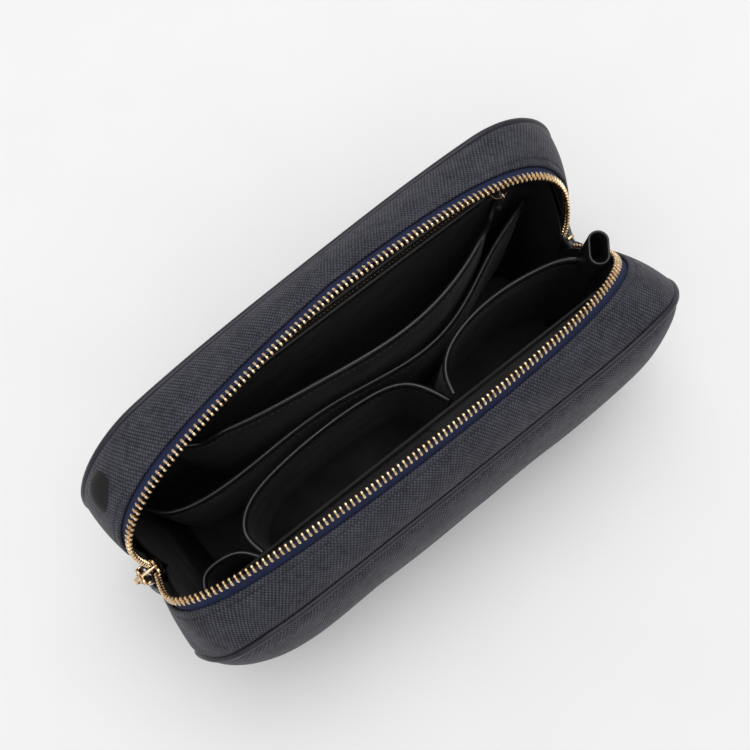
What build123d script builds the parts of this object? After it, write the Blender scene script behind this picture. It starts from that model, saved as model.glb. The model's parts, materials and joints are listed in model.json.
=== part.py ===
"""Zipped leather cable organizer pouch, standing on its base with its mouth pulled open.

Millimetres. +X runs along the pouch towards the stopped end of the zip, +Y towards the taller
back wall, +Z up. The origin is the middle of the base, on the surface that the pouch stands on.
"""

import math
import os

from build123d import *

os.makedirs("parts", exist_ok=True)

# Outer shell
HALF_LENGTH = 134.0
HALF_BASE = 33.0
TOP_CORNER = {"front": 36.0, "back": 45.0}
BASE_CORNER = 26.0
TOP = {"front": 113.0, "back": 130.0}
SIDE = {"front": -1.0, "back": 1.0}
BACK_LEAN = 23.3
FRONT_SWELL = 0.8265
FRONT_TUCK = 0.0057
END_PULL = {"front": 0.84, "back": 0.32}
PULL_POWER = {"front": 9, "back": 3}
TWIST = {"front": 0.0, "back": 0.21}
PANEL = 2.2
GUSSET = 1.8
CREASE = 0.5
PIPING = 3.0

# Mouth: the two rows of teeth, from the closed V at each end to the middle
MID_RAIL = {"front": (-35.0, 137.0), "back": (34.5, 148.0)}
VEE = {"left": (-127.0, -1.0, 98.0), "right": (114.0, 6.0, 78.0)}
VEE_GAP = 1.8
SPREAD = {
    ("front", "left"): (2.0, 4.0),
    ("front", "right"): (2.5, 4.0),
    ("back", "left"): (1.1, 2.2),
    ("back", "right"): (2.5, 2.5),
}
RIM_HALF = 86.0
RIM_GAP = 0.4
STRIP_START = 4.64
FOLD_ROOM = 1.0
TAPE = 0.6
TAPE_SHOWS = 6.0
TAPE_UNDER = 5.0
TOOTH = (1.5, 2.8, 2.2)
TOOTH_PITCH = 2.45

# Inside
FLOOR = 6.0
WALL = 1.2
BINDING = 2.2
LINING_Y = {"front": -24.0, "back": 36.5}
LINING_TOP = {"front": 104.0, "back": 128.0}
LINING_X = {"left": -121.0, "right": 109.5}
LINING_BEND = [(29.0, 0.0), (29.0, 6.0), (36.5, 60.0), (36.5, 200.0)]
INNER_ZIP_Z = 122.0
INNER_ZIP_X = (-74.0, 92.0)
INNER_REST_X = 84.5
INNER_GAP = 1.0
PEN_LOOP_SPOT = (102.0, -12.0)
PEN_LOOP_Z = (99.0, 121.0)
PEN_LOOP_SIZE = (16.0, 9.6)
PEN_LOOP_TURN = 52.0

# Slider at the closed left V
SLIDER_LOW = 94.0
SLIDER_HIGH = 105.0
SLIDER_WIDE = 8.4
PULL_Z = 101.0
PULL_LONG = 11.4
TAB_LONG = 32.0
TAB_WIDE = 9.0
TAB_HANG = 7.0
TAB_LOOP = 3.6


def save(part, name):
    """Label a finished piece and write it."""
    part.label = name
    export_step(part, f"parts/{name}.step")


def hand(x):
    """Which end of the pouch a place is nearer to."""
    return "left" if x < 0 else "right"


def outline_low(x, inset):
    """Lower edge of the rounded outline, drawn inset mm inside the pouch's own."""
    over = max(abs(x) - (HALF_LENGTH - BASE_CORNER), 0.0)
    return BASE_CORNER - math.sqrt(max((BASE_CORNER - inset) ** 2 - over**2, 0.0))


def outline_high(side, x, inset):
    """Upper edge of the same outline."""
    corner = TOP_CORNER[side]
    over = max(abs(x) - (HALF_LENGTH - corner), 0.0)
    return TOP[side] - corner + math.sqrt(max((corner - inset) ** 2 - over**2, 0.0))


def wall_y(side, x, z):
    """Outer face of a wall. The back leans out, more so towards the right; the front swells out
    and tucks in again. Both are drawn in towards the ends."""
    along = x / HALF_LENGTH
    if side == "back":
        out = BACK_LEAN * z / TOP["back"]
    else:
        out = FRONT_SWELL * z - FRONT_TUCK * z**2
    out *= 1 - END_PULL[side] * abs(along) ** PULL_POWER[side] + TWIST[side] * along
    return SIDE[side] * (HALF_BASE + out)


def rail(side, end, turn):
    """A point of the tooth line: turn 0 is the V at one end, 90 the middle of the mouth."""
    vx, vy, vz = VEE[end]
    my, mz = MID_RAIL[side]
    flat, blunt = SPREAD[side, end]
    along = math.sqrt(max(math.cos(math.radians(turn)), 0.0))
    rise = math.sqrt(math.sin(math.radians(turn)))
    start = vy + SIDE[side] * VEE_GAP
    y = start + (my - start) * max(1 - along**flat, 0.0) ** (1 / blunt)
    return Vector(vx * along, y, vz + (mz - vz) * rise)


def rail_at(side, x):
    """The point of the tooth line at a given x."""
    vx = abs(VEE[hand(x)][0])
    return rail(side, hand(x), math.degrees(math.acos((abs(x) / vx) ** 2)))


def ridge_at(side, end, share):
    """The piping line from the height of the V, share 0, round the corner to the top, share 1."""
    sign = -1 if end == "left" else 1
    corner = TOP_CORNER[side]
    low = TOP[side] - corner
    straight = max(low - VEE[end][2], 0.0)
    first = math.asin(max(VEE[end][2] - low, 0.0) / corner)
    arc = corner * (math.pi / 2 - first)
    run = share * (straight + arc)
    if run < straight:
        x, z = HALF_LENGTH, VEE[end][2] + run
    else:
        angle = first + (run - straight) / corner
        x = HALF_LENGTH - corner * (1 - math.cos(angle))
        z = low + corner * math.sin(angle)
    return Vector(sign * x, wall_y(side, sign * x, z), z)


def lines(side, where):
    """Matching points of the piping line and the tooth line along one stretch of the mouth."""
    if where == "mid":
        reach = RIM_HALF - RIM_GAP
        xs = [reach * k / 6 for k in range(-6, 7)]
        top = TOP[side]
        return [(Vector(x, wall_y(side, x, top), top), rail_at(side, x)) for x in xs]
    corner_x = HALF_LENGTH - TOP_CORNER[side]
    vx = abs(VEE[where][0])
    last = math.degrees(math.acos((corner_x / vx) ** 2))
    shares = [0.0, 0.12, 0.26, 0.42, 0.6, 0.8, 1.0]
    pairs = [(ridge_at(side, where, s), rail(side, where, last * s)) for s in shares]
    x = math.copysign(RIM_HALF + RIM_GAP, VEE[where][0])
    pairs.append((Vector(x, wall_y(side, x, TOP[side]), TOP[side]), rail_at(side, x)))
    return pairs


def frames(pairs):
    """For each pair of points: the outer one, the way across, and the way into the pouch."""
    centre = Vector(0, 0, 60)
    found = []
    for k, (outer, inner) in enumerate(pairs):
        before = pairs[max(k - 1, 0)]
        after = pairs[min(k + 1, len(pairs) - 1)]
        forward = (after[0] + after[1]) - (before[0] + before[1])
        if abs(outer.X - inner.X) < 1e-6:
            forward = Vector(1, 0, 0)
        across = (inner - outer).normalized()
        into = across.cross(forward).normalized()
        if into.dot(centre - outer) < 0:
            into = into * -1
        found.append((outer, across, into, (inner - outer).length))
    return found


def ribbon(pairs, reach, depth, name):
    """A band along the mouth; reach gives its two edges across, depth its two faces."""
    with BuildPart() as band:
        for outer, across, into, width in frames(pairs):
            near, far = reach(width)
            with BuildSketch(Plane(outer, x_dir=across, z_dir=across.cross(into))):
                with Locations((near, depth[0])):
                    Rectangle(far - near, depth[1] - depth[0], align=(Align.MIN, Align.MIN))
        loft(ruled=True)
    save(band.part, name)


def teeth(pairs, name):
    """One row of metal teeth, evenly spaced along the tooth line."""
    stations = frames(pairs)
    runs = [
        (a[0] + a[1] * a[3] - b[0] - b[1] * b[3]).length for a, b in zip(stations, stations[1:])
    ]
    count = int(sum(runs) / TOOTH_PITCH)
    places = []
    for k in range(count):
        run = (k + 0.5) * sum(runs) / count
        piece = 0
        while run > runs[piece]:
            run -= runs[piece]
            piece += 1
        share = run / runs[piece]
        first, second = stations[piece], stations[piece + 1]
        edges = [s[0] + s[1] * s[3] for s in (first, second)]
        spot = edges[0] + (edges[1] - edges[0]) * share
        across = (first[1] * (1 - share) + second[1] * share).normalized()
        along = (edges[1] - edges[0]).normalized()
        into = (first[2] * (1 - share) + second[2] * share).normalized()
        facing = across.cross(along).normalized()
        if facing.dot(into) < 0:
            facing = facing * -1
        middle = spot + facing * (GUSSET + TAPE / 2 + 0.1) - across * (TOOTH[1] / 2 - 0.5)
        places.append(Plane(middle, x_dir=across, z_dir=facing))
    with BuildPart() as row:
        with Locations(*places):
            Box(TOOTH[1], TOOTH[0], TOOTH[2])
    save(row.part, name)


def wall(side, name):
    """A swelling outer wall, lofted from upright slices along the pouch."""
    inset = PIPING + 0.8
    edge = HALF_LENGTH - inset
    xs = [edge * k for k in (-1, -0.98, -0.94, -0.88, -0.78, -0.5, 0, 0.5, 0.78, 0.88, 0.94, 0.98, 1)]
    with BuildPart() as panel:
        for x in xs:
            low = outline_low(x, inset)
            high = outline_high(side, x, inset)
            zs = [low + (high - low) * k / 6 for k in range(7)]
            outer = [(wall_y(side, x, z), z) for z in zs]
            inner = [(y - SIDE[side] * PANEL, z) for y, z in reversed(outer)]
            with BuildSketch(Plane.YZ.offset(x)):
                with BuildLine():
                    Polyline(*outer, *inner, close=True)
                make_face()
        loft(ruled=True)
    save(panel.part, name)


def outline_stations(side, sign):
    """Outline points with their inward directions, from the middle of the base to the middle
    of the top, by way of one end."""
    found = [(0.0, 0.0, 0.0, 1.0), (sign * (HALF_LENGTH - BASE_CORNER), 0.0, 0.0, 1.0)]
    for angle in (22.5, 45.0, 67.5, 90.0):
        s, c = math.sin(math.radians(angle)), math.cos(math.radians(angle))
        x = HALF_LENGTH - BASE_CORNER * (1 - s)
        found.append((sign * x, BASE_CORNER * (1 - c), -sign * s, c))
    corner = TOP_CORNER[side]
    low = TOP[side] - corner
    found.append((sign * HALF_LENGTH, (BASE_CORNER + low) / 2, -sign, 0.0))
    for angle in (0.0, 22.5, 45.0, 67.5, 90.0):
        s, c = math.sin(math.radians(angle)), math.cos(math.radians(angle))
        x = HALF_LENGTH - corner * (1 - c)
        found.append((sign * x, low + corner * s, -sign * c, -s))
    found.append((0.0, TOP[side], 0.0, -1.0))
    return found


def piping(side, name):
    """The corded edge all round a wall, in a left and a right half that meet."""
    with BuildPart() as cord:
        for sign in (-1, 1):
            with BuildPart(mode=Mode.PRIVATE) as half:
                for x, z, nx, nz in outline_stations(side, sign):
                    spot = Vector(x, wall_y(side, x, z), z)
                    inward = Vector(nx, 0, nz)
                    plane = Plane(spot, x_dir=inward, z_dir=inward.cross(Vector(0, -SIDE[side], 0)))
                    with BuildSketch(plane):
                        Rectangle(PIPING, PIPING, align=(Align.MIN, Align.MIN))
                loft(ruled=True)
            add(half.part)
    save(cord.part, name)


def end_gusset(end, name):
    """The band that joins the two walls at one end, folded inwards towards the V."""
    sign = -1 if end == "left" else 1
    vx, vy, vz = VEE[end]
    stations = []
    for angle in (0.0, 22.5, 45.0, 67.5):
        s, c = math.sin(math.radians(angle)), math.cos(math.radians(angle))
        x = HALF_LENGTH - BASE_CORNER * (1 - s)
        stations.append((sign * x, BASE_CORNER * (1 - c), Vector(-sign * s, 0, c)))
    for k in range(6):
        z = BASE_CORNER + (vz - 0.8 - BASE_CORNER) * k / 5
        stations.append((sign * HALF_LENGTH, z, Vector(-sign, 0, 0)))
    with BuildPart() as band:
        for x, z, into in stations:
            share = z / vz
            edge = {}
            for side in ("front", "back"):
                corner = TOP_CORNER[side]
                over = max(z - (TOP[side] - corner), 0.0)
                pulled = corner - math.sqrt(corner**2 - over**2)
                y = wall_y(side, x, z) - SIDE[side] * (PIPING + 0.8)
                edge[side] = Vector(x - sign * pulled, y, z)
            fold = Vector(x + (vx - sign * (HALF_LENGTH - CREASE)) * share**2, vy * share, z)
            fold = fold + into * CREASE
            outer = [edge["front"], fold, edge["back"]]
            inner = [p + into * GUSSET for p in reversed(outer)]
            plane = Plane(edge["front"], x_dir=into, z_dir=into.cross(Vector(0, 1, 0)))
            with BuildSketch(plane):
                with BuildLine():
                    flat = [plane.to_local_coords(p) for p in outer + inner]
                    Polyline(*[(p.X, p.Y) for p in flat], close=True)
                make_face()
        loft(ruled=True)
    save(band.part, name)


def block(name, low, high):
    """A plain rectangular piece between two corners."""
    size = [b - a for a, b in zip(low, high)]
    with BuildPart() as piece:
        with Locations(tuple(low)):
            Box(*size, align=(Align.MIN, Align.MIN, Align.MIN))
    save(piece.part, name)


def pocket(name, route, low, top, dip=None):
    """A slack pocket front standing behind its rim, and the rolled binding along the rim.

    The front ends at the back lining. With a dip, (height, reach), the front is lower beyond
    reach from the middle, where the rim runs down to the lining and has no binding."""
    rim = top + BINDING
    for label, width, foot, head in ((name, WALL, low, top), (name + "_binding", BINDING, top, rim)):
        with BuildPart() as sheet:
            with BuildSketch(Plane.XY.offset(foot)):
                with BuildLine():
                    Spline(*route)
                trace(line_width=width)
            extrude(amount=head - foot)
            with BuildSketch(Plane.YZ.offset(-HALF_LENGTH)):
                with BuildLine():
                    Polyline(*[(y - 0.3, z) for y, z in LINING_BEND], (80, 200), (80, 0), close=True)
                make_face()
            extrude(amount=2 * HALF_LENGTH, mode=Mode.SUBTRACT)
            if dip:
                with BuildSketch(Plane.XY.offset(min(dip[0], head))):
                    with Locations((dip[1] + 100, 0), (-dip[1] - 100, 0)):
                        Rectangle(200, 200)
                extrude(amount=top, mode=Mode.SUBTRACT)
        save(sheet.part, label)


# Walls, piping and gusset
for wall_side in ("front", "back"):
    wall(wall_side, wall_side + "_panel")
    piping(wall_side, wall_side + "_piping")
for gusset_end in ("left", "right"):
    end_gusset(gusset_end, "gusset_" + gusset_end)
base_x = HALF_LENGTH - BASE_CORNER - 0.2
base_y = HALF_BASE - PIPING - 0.2
block("gusset_base", (-base_x, -base_y, 0), (base_x, base_y, GUSSET))
block("base_board", (-base_x + 4, -base_y + 4, GUSSET + 0.1), (base_x - 4, base_y - 4, GUSSET + 2.1))
block("lining_base", (-base_x + 2, -23.0, FLOOR - WALL), (base_x - 2, 28.0, FLOOR - 0.1))

# Leather strips, tapes and teeth round the mouth
for strip_side in ("front", "back"):
    for place in ("left", "mid", "right"):
        edge_pairs = lines(strip_side, place)
        start = STRIP_START + (FOLD_ROOM if place == "mid" else 0.0)
        ribbon(
            edge_pairs,
            lambda width: (start, width - TAPE_SHOWS),
            (0.0, GUSSET),
            f"{strip_side}_strip_{place}",
        )
        ribbon(
            edge_pairs,
            lambda width: (width - TAPE_SHOWS - TAPE_UNDER, width - TOOTH[1]),
            (GUSSET + 0.1, GUSSET + 0.1 + TAPE),
            f"{strip_side}_tape_{place}",
        )
        teeth(edge_pairs, f"{strip_side}_teeth_{place}")

# Linings
front_y, back_y = LINING_Y["front"], LINING_Y["back"]
left_x, right_x = LINING_X["left"], LINING_X["right"]
block("lining_front", (left_x + 8, front_y - WALL, FLOOR), (right_x - 1, front_y, LINING_TOP["front"]))
block("lining_left", (left_x, front_y + 0.5, 14.0), (left_x + WALL, 28.0, 88.0))
block("lining_right", (right_x, front_y + 0.5, FLOOR), (right_x + WALL, 28.0, 60.0))
zip_left, zip_right = INNER_ZIP_X
inner_mid = ((zip_left + zip_right) / 2, INNER_ZIP_Z)
inner_length = zip_right - zip_left
foot_y = LINING_BEND[1][0]
knee = LINING_BEND[2][1]
lining_low, lining_high = left_x + 16, right_x - 10
with BuildPart() as back_lining:
    with BuildSketch(Plane.YZ.offset(lining_low)):
        with BuildLine():
            front_edge = [(foot_y, FLOOR), (back_y, knee), (back_y, LINING_TOP["back"])]
            Polyline(*front_edge, *[(y + WALL, z) for y, z in reversed(front_edge)], close=True)
        make_face()
    extrude(amount=lining_high - lining_low)
    with BuildSketch(Plane.XZ.offset(-back_y + 1)):
        with Locations(inner_mid):
            Rectangle(inner_length, 10)
    extrude(amount=-WALL - 2, mode=Mode.SUBTRACT)
save(back_lining.part, "lining_back")

# Pocket fronts, from the back wall to the front
pocket(
    "notebook_pocket",
    [(-92, 38), (-81, 29.5), (-56, 21), (-26, 16), (19, 11.5), (55, 18), (77, 28.5), (90, 38)],
    FLOOR,
    114.0,
    dip=(103.0, 72.0),
)
pocket(
    "cable_pocket",
    [(-118, 31), (-110, 18), (-92, 11), (-55, 10.5), (-22, 9.5), (24, 4), (52, 10.5), (76, 21.5), (103, 31)],
    14.0,
    90.0,
)
pocket(
    "phone_pocket",
    [(108, -16), (99, -5), (84, 0.5), (62, 3), (42, 1), (29, -4), (22, -11), (19, -20)],
    FLOOR,
    95.0,
)
pocket(
    "earbud_pocket",
    [(17, -20), (7, -3), (-12, 3), (-40, 4), (-64, 2), (-80, -3), (-87, -11), (-86, -22)],
    FLOOR,
    88.0,
)
pocket("coin_pocket", [(-88, -23), (-94, -16), (-104, -13.5), (-111, -15), (-115, -22)], 14.0, 88.0)
with BuildPart() as loop:
    with BuildSketch(Plane.XY.offset(PEN_LOOP_Z[0])):
        with Locations(PEN_LOOP_SPOT):
            SlotOverall(*PEN_LOOP_SIZE, rotation=PEN_LOOP_TURN)
            SlotOverall(*[s - 3 for s in PEN_LOOP_SIZE], rotation=PEN_LOOP_TURN, mode=Mode.SUBTRACT)
    extrude(amount=PEN_LOOP_Z[1] - PEN_LOOP_Z[0])
save(loop.part, "pen_loop")

# Zip in the back lining
inner_plane = Plane.XZ.offset(-back_y - 0.3)
with BuildPart() as inner_tapes:
    with BuildSketch(inner_plane):
        with Locations(inner_mid):
            Rectangle(inner_length - 0.4, 9.6)
            Rectangle(inner_length - 0.4, 2 * INNER_GAP + 4.0, mode=Mode.SUBTRACT)
    extrude(amount=-TAPE)
save(inner_tapes.part, "inner_zip_tapes")
inner_count = int((inner_length - 6) / TOOTH_PITCH)
with BuildPart() as inner_teeth:
    with Locations(*[(inner_mid[0], back_y + 0.6, INNER_ZIP_Z + s * (INNER_GAP + 0.95)) for s in (-1, 1)]):
        with GridLocations(TOOTH_PITCH, 1, inner_count, 1):
            Box(TOOTH[0], 1.6, 1.8)
save(inner_teeth.part, "inner_zip_teeth")
with BuildPart() as welt:
    with BuildSketch(Plane.XZ.offset(-back_y + 1.0)):
        with Locations(inner_mid):
            RectangleRounded(inner_length + 8, 15, 3)
            Rectangle(inner_length, 9, mode=Mode.SUBTRACT)
    extrude(amount=-0.8)
save(welt.part, "inner_zip_welt")
block("inner_zip_bag", (zip_left, back_y + 2.1, 78.0), (zip_right, back_y + 3.3, 112.0))
plate_y = back_y - 2.7
bridge_y = plate_y - 2.6
with BuildPart() as inner_slider:
    with Locations((INNER_REST_X, plate_y + 0.6, INNER_ZIP_Z), (INNER_REST_X, back_y + 2.8, INNER_ZIP_Z)):
        Box(9, 1.2, 7)
    with Locations((INNER_REST_X, back_y + 0.35, INNER_ZIP_Z)):
        Box(4, 4.2, 2 * INNER_GAP - 0.8)
    with BuildSketch(Plane.XY.offset(INNER_ZIP_Z - 0.6)):
        with Locations((INNER_REST_X, bridge_y + 1.1)):
            Rectangle(7.4, 3.0)
        with Locations((INNER_REST_X, bridge_y + 1.6)):
            Rectangle(5.0, 2.4, mode=Mode.SUBTRACT)
    extrude(amount=1.2)
save(inner_slider.part, "inner_slider")
with BuildPart() as inner_puller:
    with BuildSketch(Plane.YZ.offset(INNER_REST_X - 0.5)):
        with Locations((bridge_y, INNER_ZIP_Z)):
            Circle(2.1)
        with Locations((bridge_y, INNER_ZIP_Z - 6.8)):
            RectangleRounded(3.0, 11.6, 0.8)
        with Locations((bridge_y, INNER_ZIP_Z)):
            Circle(1.15, mode=Mode.SUBTRACT)
    extrude(amount=1.0)
save(inner_puller.part, "inner_puller")

# Zip ends
vee_x, vee_y, vee_z = VEE["right"]
block("zip_end_tab", (vee_x - 4.4, vee_y - 8, vee_z - 14), (vee_x - 3.0, vee_y + 8, vee_z - 1))
block("zip_end_stop", (vee_x - 2.6, vee_y - 0.9, vee_z + 0.5), (vee_x + 1.0, vee_y + 0.9, vee_z + 4.5))
vee_x, vee_y, vee_z = VEE["left"]
slider_mid = (SLIDER_LOW + SLIDER_HIGH) / 2
face_x = vee_x - 2.8
bar_x = face_x - 1.0
with BuildPart() as slider:
    with Locations((face_x + 0.6, vee_y, slider_mid), (vee_x + 4.8, vee_y, slider_mid)):
        Box(1.2, SLIDER_WIDE, SLIDER_HIGH - SLIDER_LOW)
    with Locations((vee_x + 1.3, vee_y, SLIDER_HIGH - 2.0)):
        Box(6.6, 1.4, 4.0)
    with BuildSketch(Plane.XZ.offset(-vee_y - 1.1)):
        with Locations((face_x - 1.5, PULL_Z)):
            Rectangle(3.0, 7.6)
        with Locations((face_x - 1.0, PULL_Z)):
            Rectangle(2.0, 5.6, mode=Mode.SUBTRACT)
    extrude(amount=2.2)
save(slider.part, "main_slider")
with BuildPart() as puller:
    with BuildSketch(Plane.YZ.offset(bar_x - 0.6)):
        with Locations((vee_y, PULL_Z - PULL_LONG / 2)):
            RectangleRounded(5.4, PULL_LONG + 1.2, 0.59)
            Rectangle(3.2, PULL_LONG - 1.2, mode=Mode.SUBTRACT)
    extrude(amount=1.2)
save(puller.part, "main_puller")
eye_z = PULL_Z - PULL_LONG
with BuildPart() as tab:
    with BuildSketch(Plane.XZ):
        with Locations((0, -2.0)):
            RectangleRounded(TAB_LOOP, 7.4, 0.8)
            Rectangle(TAB_LOOP - 1.6, 5.8, mode=Mode.SUBTRACT)
    extrude(amount=1.4, both=True)
    with BuildSketch(Plane.YZ.offset(-1.0)):
        with Locations((0, -6.0 - TAB_LONG / 2)):
            RectangleRounded(TAB_WIDE, TAB_LONG, 2.0)
    extrude(amount=2.0)
save(Pos(bar_x, vee_y, eye_z) * Rot(0, TAB_HANG, 0) * tab.part, "pull_tab")
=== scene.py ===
import json
import math

import bmesh
import bpy
import numpy as np
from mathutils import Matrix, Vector, noise

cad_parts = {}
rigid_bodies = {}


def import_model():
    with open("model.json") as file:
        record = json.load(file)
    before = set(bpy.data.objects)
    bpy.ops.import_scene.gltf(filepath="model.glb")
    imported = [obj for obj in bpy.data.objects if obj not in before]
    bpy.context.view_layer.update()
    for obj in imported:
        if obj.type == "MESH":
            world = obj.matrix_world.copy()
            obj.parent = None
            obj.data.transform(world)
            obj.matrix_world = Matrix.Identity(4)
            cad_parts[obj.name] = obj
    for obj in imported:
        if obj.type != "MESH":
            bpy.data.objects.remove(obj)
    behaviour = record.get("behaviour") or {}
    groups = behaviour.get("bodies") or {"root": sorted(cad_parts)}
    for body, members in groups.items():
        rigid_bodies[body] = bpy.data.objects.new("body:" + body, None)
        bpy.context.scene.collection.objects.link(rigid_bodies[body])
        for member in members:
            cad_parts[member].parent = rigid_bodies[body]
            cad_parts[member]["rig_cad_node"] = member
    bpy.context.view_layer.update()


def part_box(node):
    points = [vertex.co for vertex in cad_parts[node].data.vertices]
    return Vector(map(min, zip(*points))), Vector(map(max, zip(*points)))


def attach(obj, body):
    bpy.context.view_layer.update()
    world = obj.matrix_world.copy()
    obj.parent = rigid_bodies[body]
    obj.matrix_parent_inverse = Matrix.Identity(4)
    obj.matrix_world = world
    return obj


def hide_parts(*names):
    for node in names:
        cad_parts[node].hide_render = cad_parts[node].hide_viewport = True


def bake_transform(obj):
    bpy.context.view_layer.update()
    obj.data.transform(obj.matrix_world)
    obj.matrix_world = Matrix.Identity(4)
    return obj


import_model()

# Everything below is in millimetres; MM brings it to metres when a mesh is made. The shell
# and the mouth follow the same rules as the CAD part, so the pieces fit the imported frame.
MM = 0.001
SIDES = ("front", "back")
ENDS = ("left", "right")
SIGN = {"left": -1.0, "right": 1.0}

# Outer shell
HALF_LENGTH = 134.0
HALF_BASE = 33.0
TOP_CORNER = {"front": 36.0, "back": 45.0}
BASE_CORNER = 26.0
TOP = {"front": 113.0, "back": 130.0}
SIDE = {"front": -1.0, "back": 1.0}
BACK_LEAN = 23.3
FRONT_SWELL = 0.8265
FRONT_TUCK = 0.0057
END_PULL = {"front": 0.84, "back": 0.32}
PULL_POWER = {"front": 9, "back": 3}
TWIST = {"front": 0.0, "back": 0.21}
CREASE = 0.5
CORD = 1.65

# Mouth
MID_RAIL = {"front": (-35.0, 137.0), "back": (34.5, 148.0)}
VEE = {"left": (-127.0, -1.0, 98.0), "right": (114.0, 6.0, 78.0)}
VEE_GAP = 1.8
SPREAD = {
    ("front", "left"): (2.0, 4.0),
    ("front", "right"): (2.5, 4.0),
    ("back", "left"): (1.1, 2.2),
    ("back", "right"): (2.5, 2.5),
}
TAPE_SHOWS = 6.0
LEATHER = 1.8
TOOTH_PITCH = 2.45

# Inside
LINING_Y = {"front": -24.0, "back": 36.5}
LINING_X = {"left": -121.0, "right": 109.5}
LINING_CORNER = 10.0
FLOOR = 6.0
FLOOR_BACK_Y = 29.0
BACK_UPRIGHT_FROM = 60.0
DRAWN_IN, DRAWN_BELOW = 10.0, 28.0
# The facing meets the lining this far behind it and this far below its upper edge. That edge
# stays this far below the leather strip.
FACING_BEHIND = {"front": 1.3, "back": 4.6}
FACING_TUCK = {"front": 7.0, "back": 3.5}
STRIP_ROOM = 7.0
INNER_ZIP_Z = 122.0
INNER_ZIP_X = (-74.0, 92.0)
PEN_LOOP_SPOT = (102.0, -12.0)
PEN_LOOP_SIZE = (16.0, 9.6)
PEN_LOOP_TURN = 52.0
TAB_REACH = 38.0
TAB_HANG = 7.0

# Camera
AIM = Vector((3.1, 14.6, 60.0)) * MM
CAMERA_AZIMUTH, CAMERA_ELEVATION = -38.3, 76.4
CAMERA_AWAY = 423.1
LENS, SENSOR = 42.7, 36.0


# ---------------------------------------------------------------- mesh making


def unit(v):
    v = np.asarray(v, float)
    return v / np.linalg.norm(v, axis=-1, keepdims=True)


def ramp(x, low, high):
    """0 below low, 1 above high, smooth between."""
    t = np.clip((np.asarray(x, float) - low) / (high - low), 0, 1)
    return t * t * (3 - 2 * t)


def make(name, verts, faces, material, corner_uvs=None, crisp=40):
    """A closed mesh object with outward normals, from points in millimetres."""
    mesh = bpy.data.meshes.new(name)
    mesh.from_pydata([tuple(v) for v in np.asarray(verts) * MM], [], faces)
    if corner_uvs is not None:
        layer = mesh.uv_layers.new(name="UVMap")
        layer.data.foreach_set("uv", np.asarray(corner_uvs, float).ravel())
    work = bmesh.new()
    work.from_mesh(mesh)
    bmesh.ops.recalc_face_normals(work, faces=work.faces)
    work.to_mesh(mesh)
    work.free()
    mesh.polygons.foreach_set("use_smooth", [True] * len(mesh.polygons))
    mesh.set_sharp_from_angle(angle=math.radians(crisp))
    mesh.materials.append(material)
    obj = bpy.data.objects.new(name, mesh)
    bpy.context.collection.objects.link(obj)
    return obj


def loft(name, sections, material, closed=False, crisp=40):
    """A skin over matching closed sections. Its UVs are millimetres along and round it."""
    sections = np.asarray(sections, float)
    count, around = sections.shape[:2]
    steps = np.linalg.norm(np.diff(sections.mean(1), axis=0), axis=1)
    along = np.concatenate([[0], np.cumsum(steps)])
    ring = np.linalg.norm(np.roll(sections, -1, axis=1) - sections, axis=2)
    round_it = np.concatenate([np.zeros((count, 1)), np.cumsum(ring, axis=1)], axis=1)
    faces, uvs = [], []
    for i in range(count if closed else count - 1):
        k = (i + 1) % count
        u0, u1 = along[i], along[i] + (steps[i] if i < count - 1 else steps[-1])
        for j in range(around):
            m = (j + 1) % around
            faces.append((i * around + j, i * around + m, k * around + m, k * around + j))
            uvs += [
                (u0, round_it[i, j]),
                (u0, round_it[i, j + 1]),
                (u1, round_it[k, j + 1]),
                (u1, round_it[k, j]),
            ]
    if not closed:
        for i, turn in ((0, -1), (count - 1, 1)):
            face = [i * around + j for j in range(around)][::turn]
            faces.append(tuple(face))
            uvs += [(along[i], round_it[i, j]) for j in range(around)][::turn]
    return make(name, sections.reshape(-1, 3), faces, material, uvs, crisp)


def tube(name, path, radius, material, closed=False, sides=12, squash=(1.0, 1.0), up=(0, 0, 1)):
    """A round or flattened cord along a path of points."""
    path = np.asarray(path, float)
    if closed:
        tangent = unit(np.roll(path, -1, axis=0) - np.roll(path, 1, axis=0))
    else:
        tangent = unit(np.gradient(path, axis=0))
    side = unit(np.cross(tangent, np.asarray(up, float)))
    top = unit(np.cross(side, tangent))
    angles = np.arange(sides) * 2 * math.pi / sides
    sections = [
        p + radius * (np.cos(angles)[:, None] * s * squash[0] + np.sin(angles)[:, None] * t * squash[1])
        for p, s, t in zip(path, side, top)
    ]
    return loft(name, sections, material, closed=closed)


def scatter(name, verts, faces, places, material):
    """Copies of one small closed shape at many places: (origin, x axis, y axis, z axis)."""
    verts = np.asarray(verts, float)
    every, rims = [], []
    for origin, x, y, z in places:
        start = len(every) * len(verts)
        every.append(origin + verts[:, :1] * x + verts[:, 1:2] * y + verts[:, 2:] * z)
        rims += [tuple(start + k for k in face) for face in faces]
    flat = np.concatenate(every)
    uvs = [(flat[k][0], flat[k][1] + flat[k][2]) for face in rims for k in face]
    return make(name, flat, rims, material, uvs)


def rings(rows):
    """Points and faces of a small closed lump from rings (x, half width, half height, lift)."""
    around = 10
    angles = (np.arange(around) + 0.5) * 2 * math.pi / around
    verts, faces = [], []
    for x, wide, high, lift in rows:
        c = np.sign(np.cos(angles)) * np.abs(np.cos(angles)) ** 0.7
        s = np.sign(np.sin(angles)) * np.abs(np.sin(angles)) ** 0.7
        verts += [(x, wide * a, lift + high * b) for a, b in zip(c, s)]
    for i in range(len(rows) - 1):
        for j in range(around):
            m = (j + 1) % around
            faces.append((i * around + j, i * around + m, (i + 1) * around + m, (i + 1) * around + j))
    last = (len(rows) - 1) * around
    faces.append(tuple(reversed(range(around))))
    faces.append(tuple(range(last, last + around)))
    return verts, faces


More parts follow.
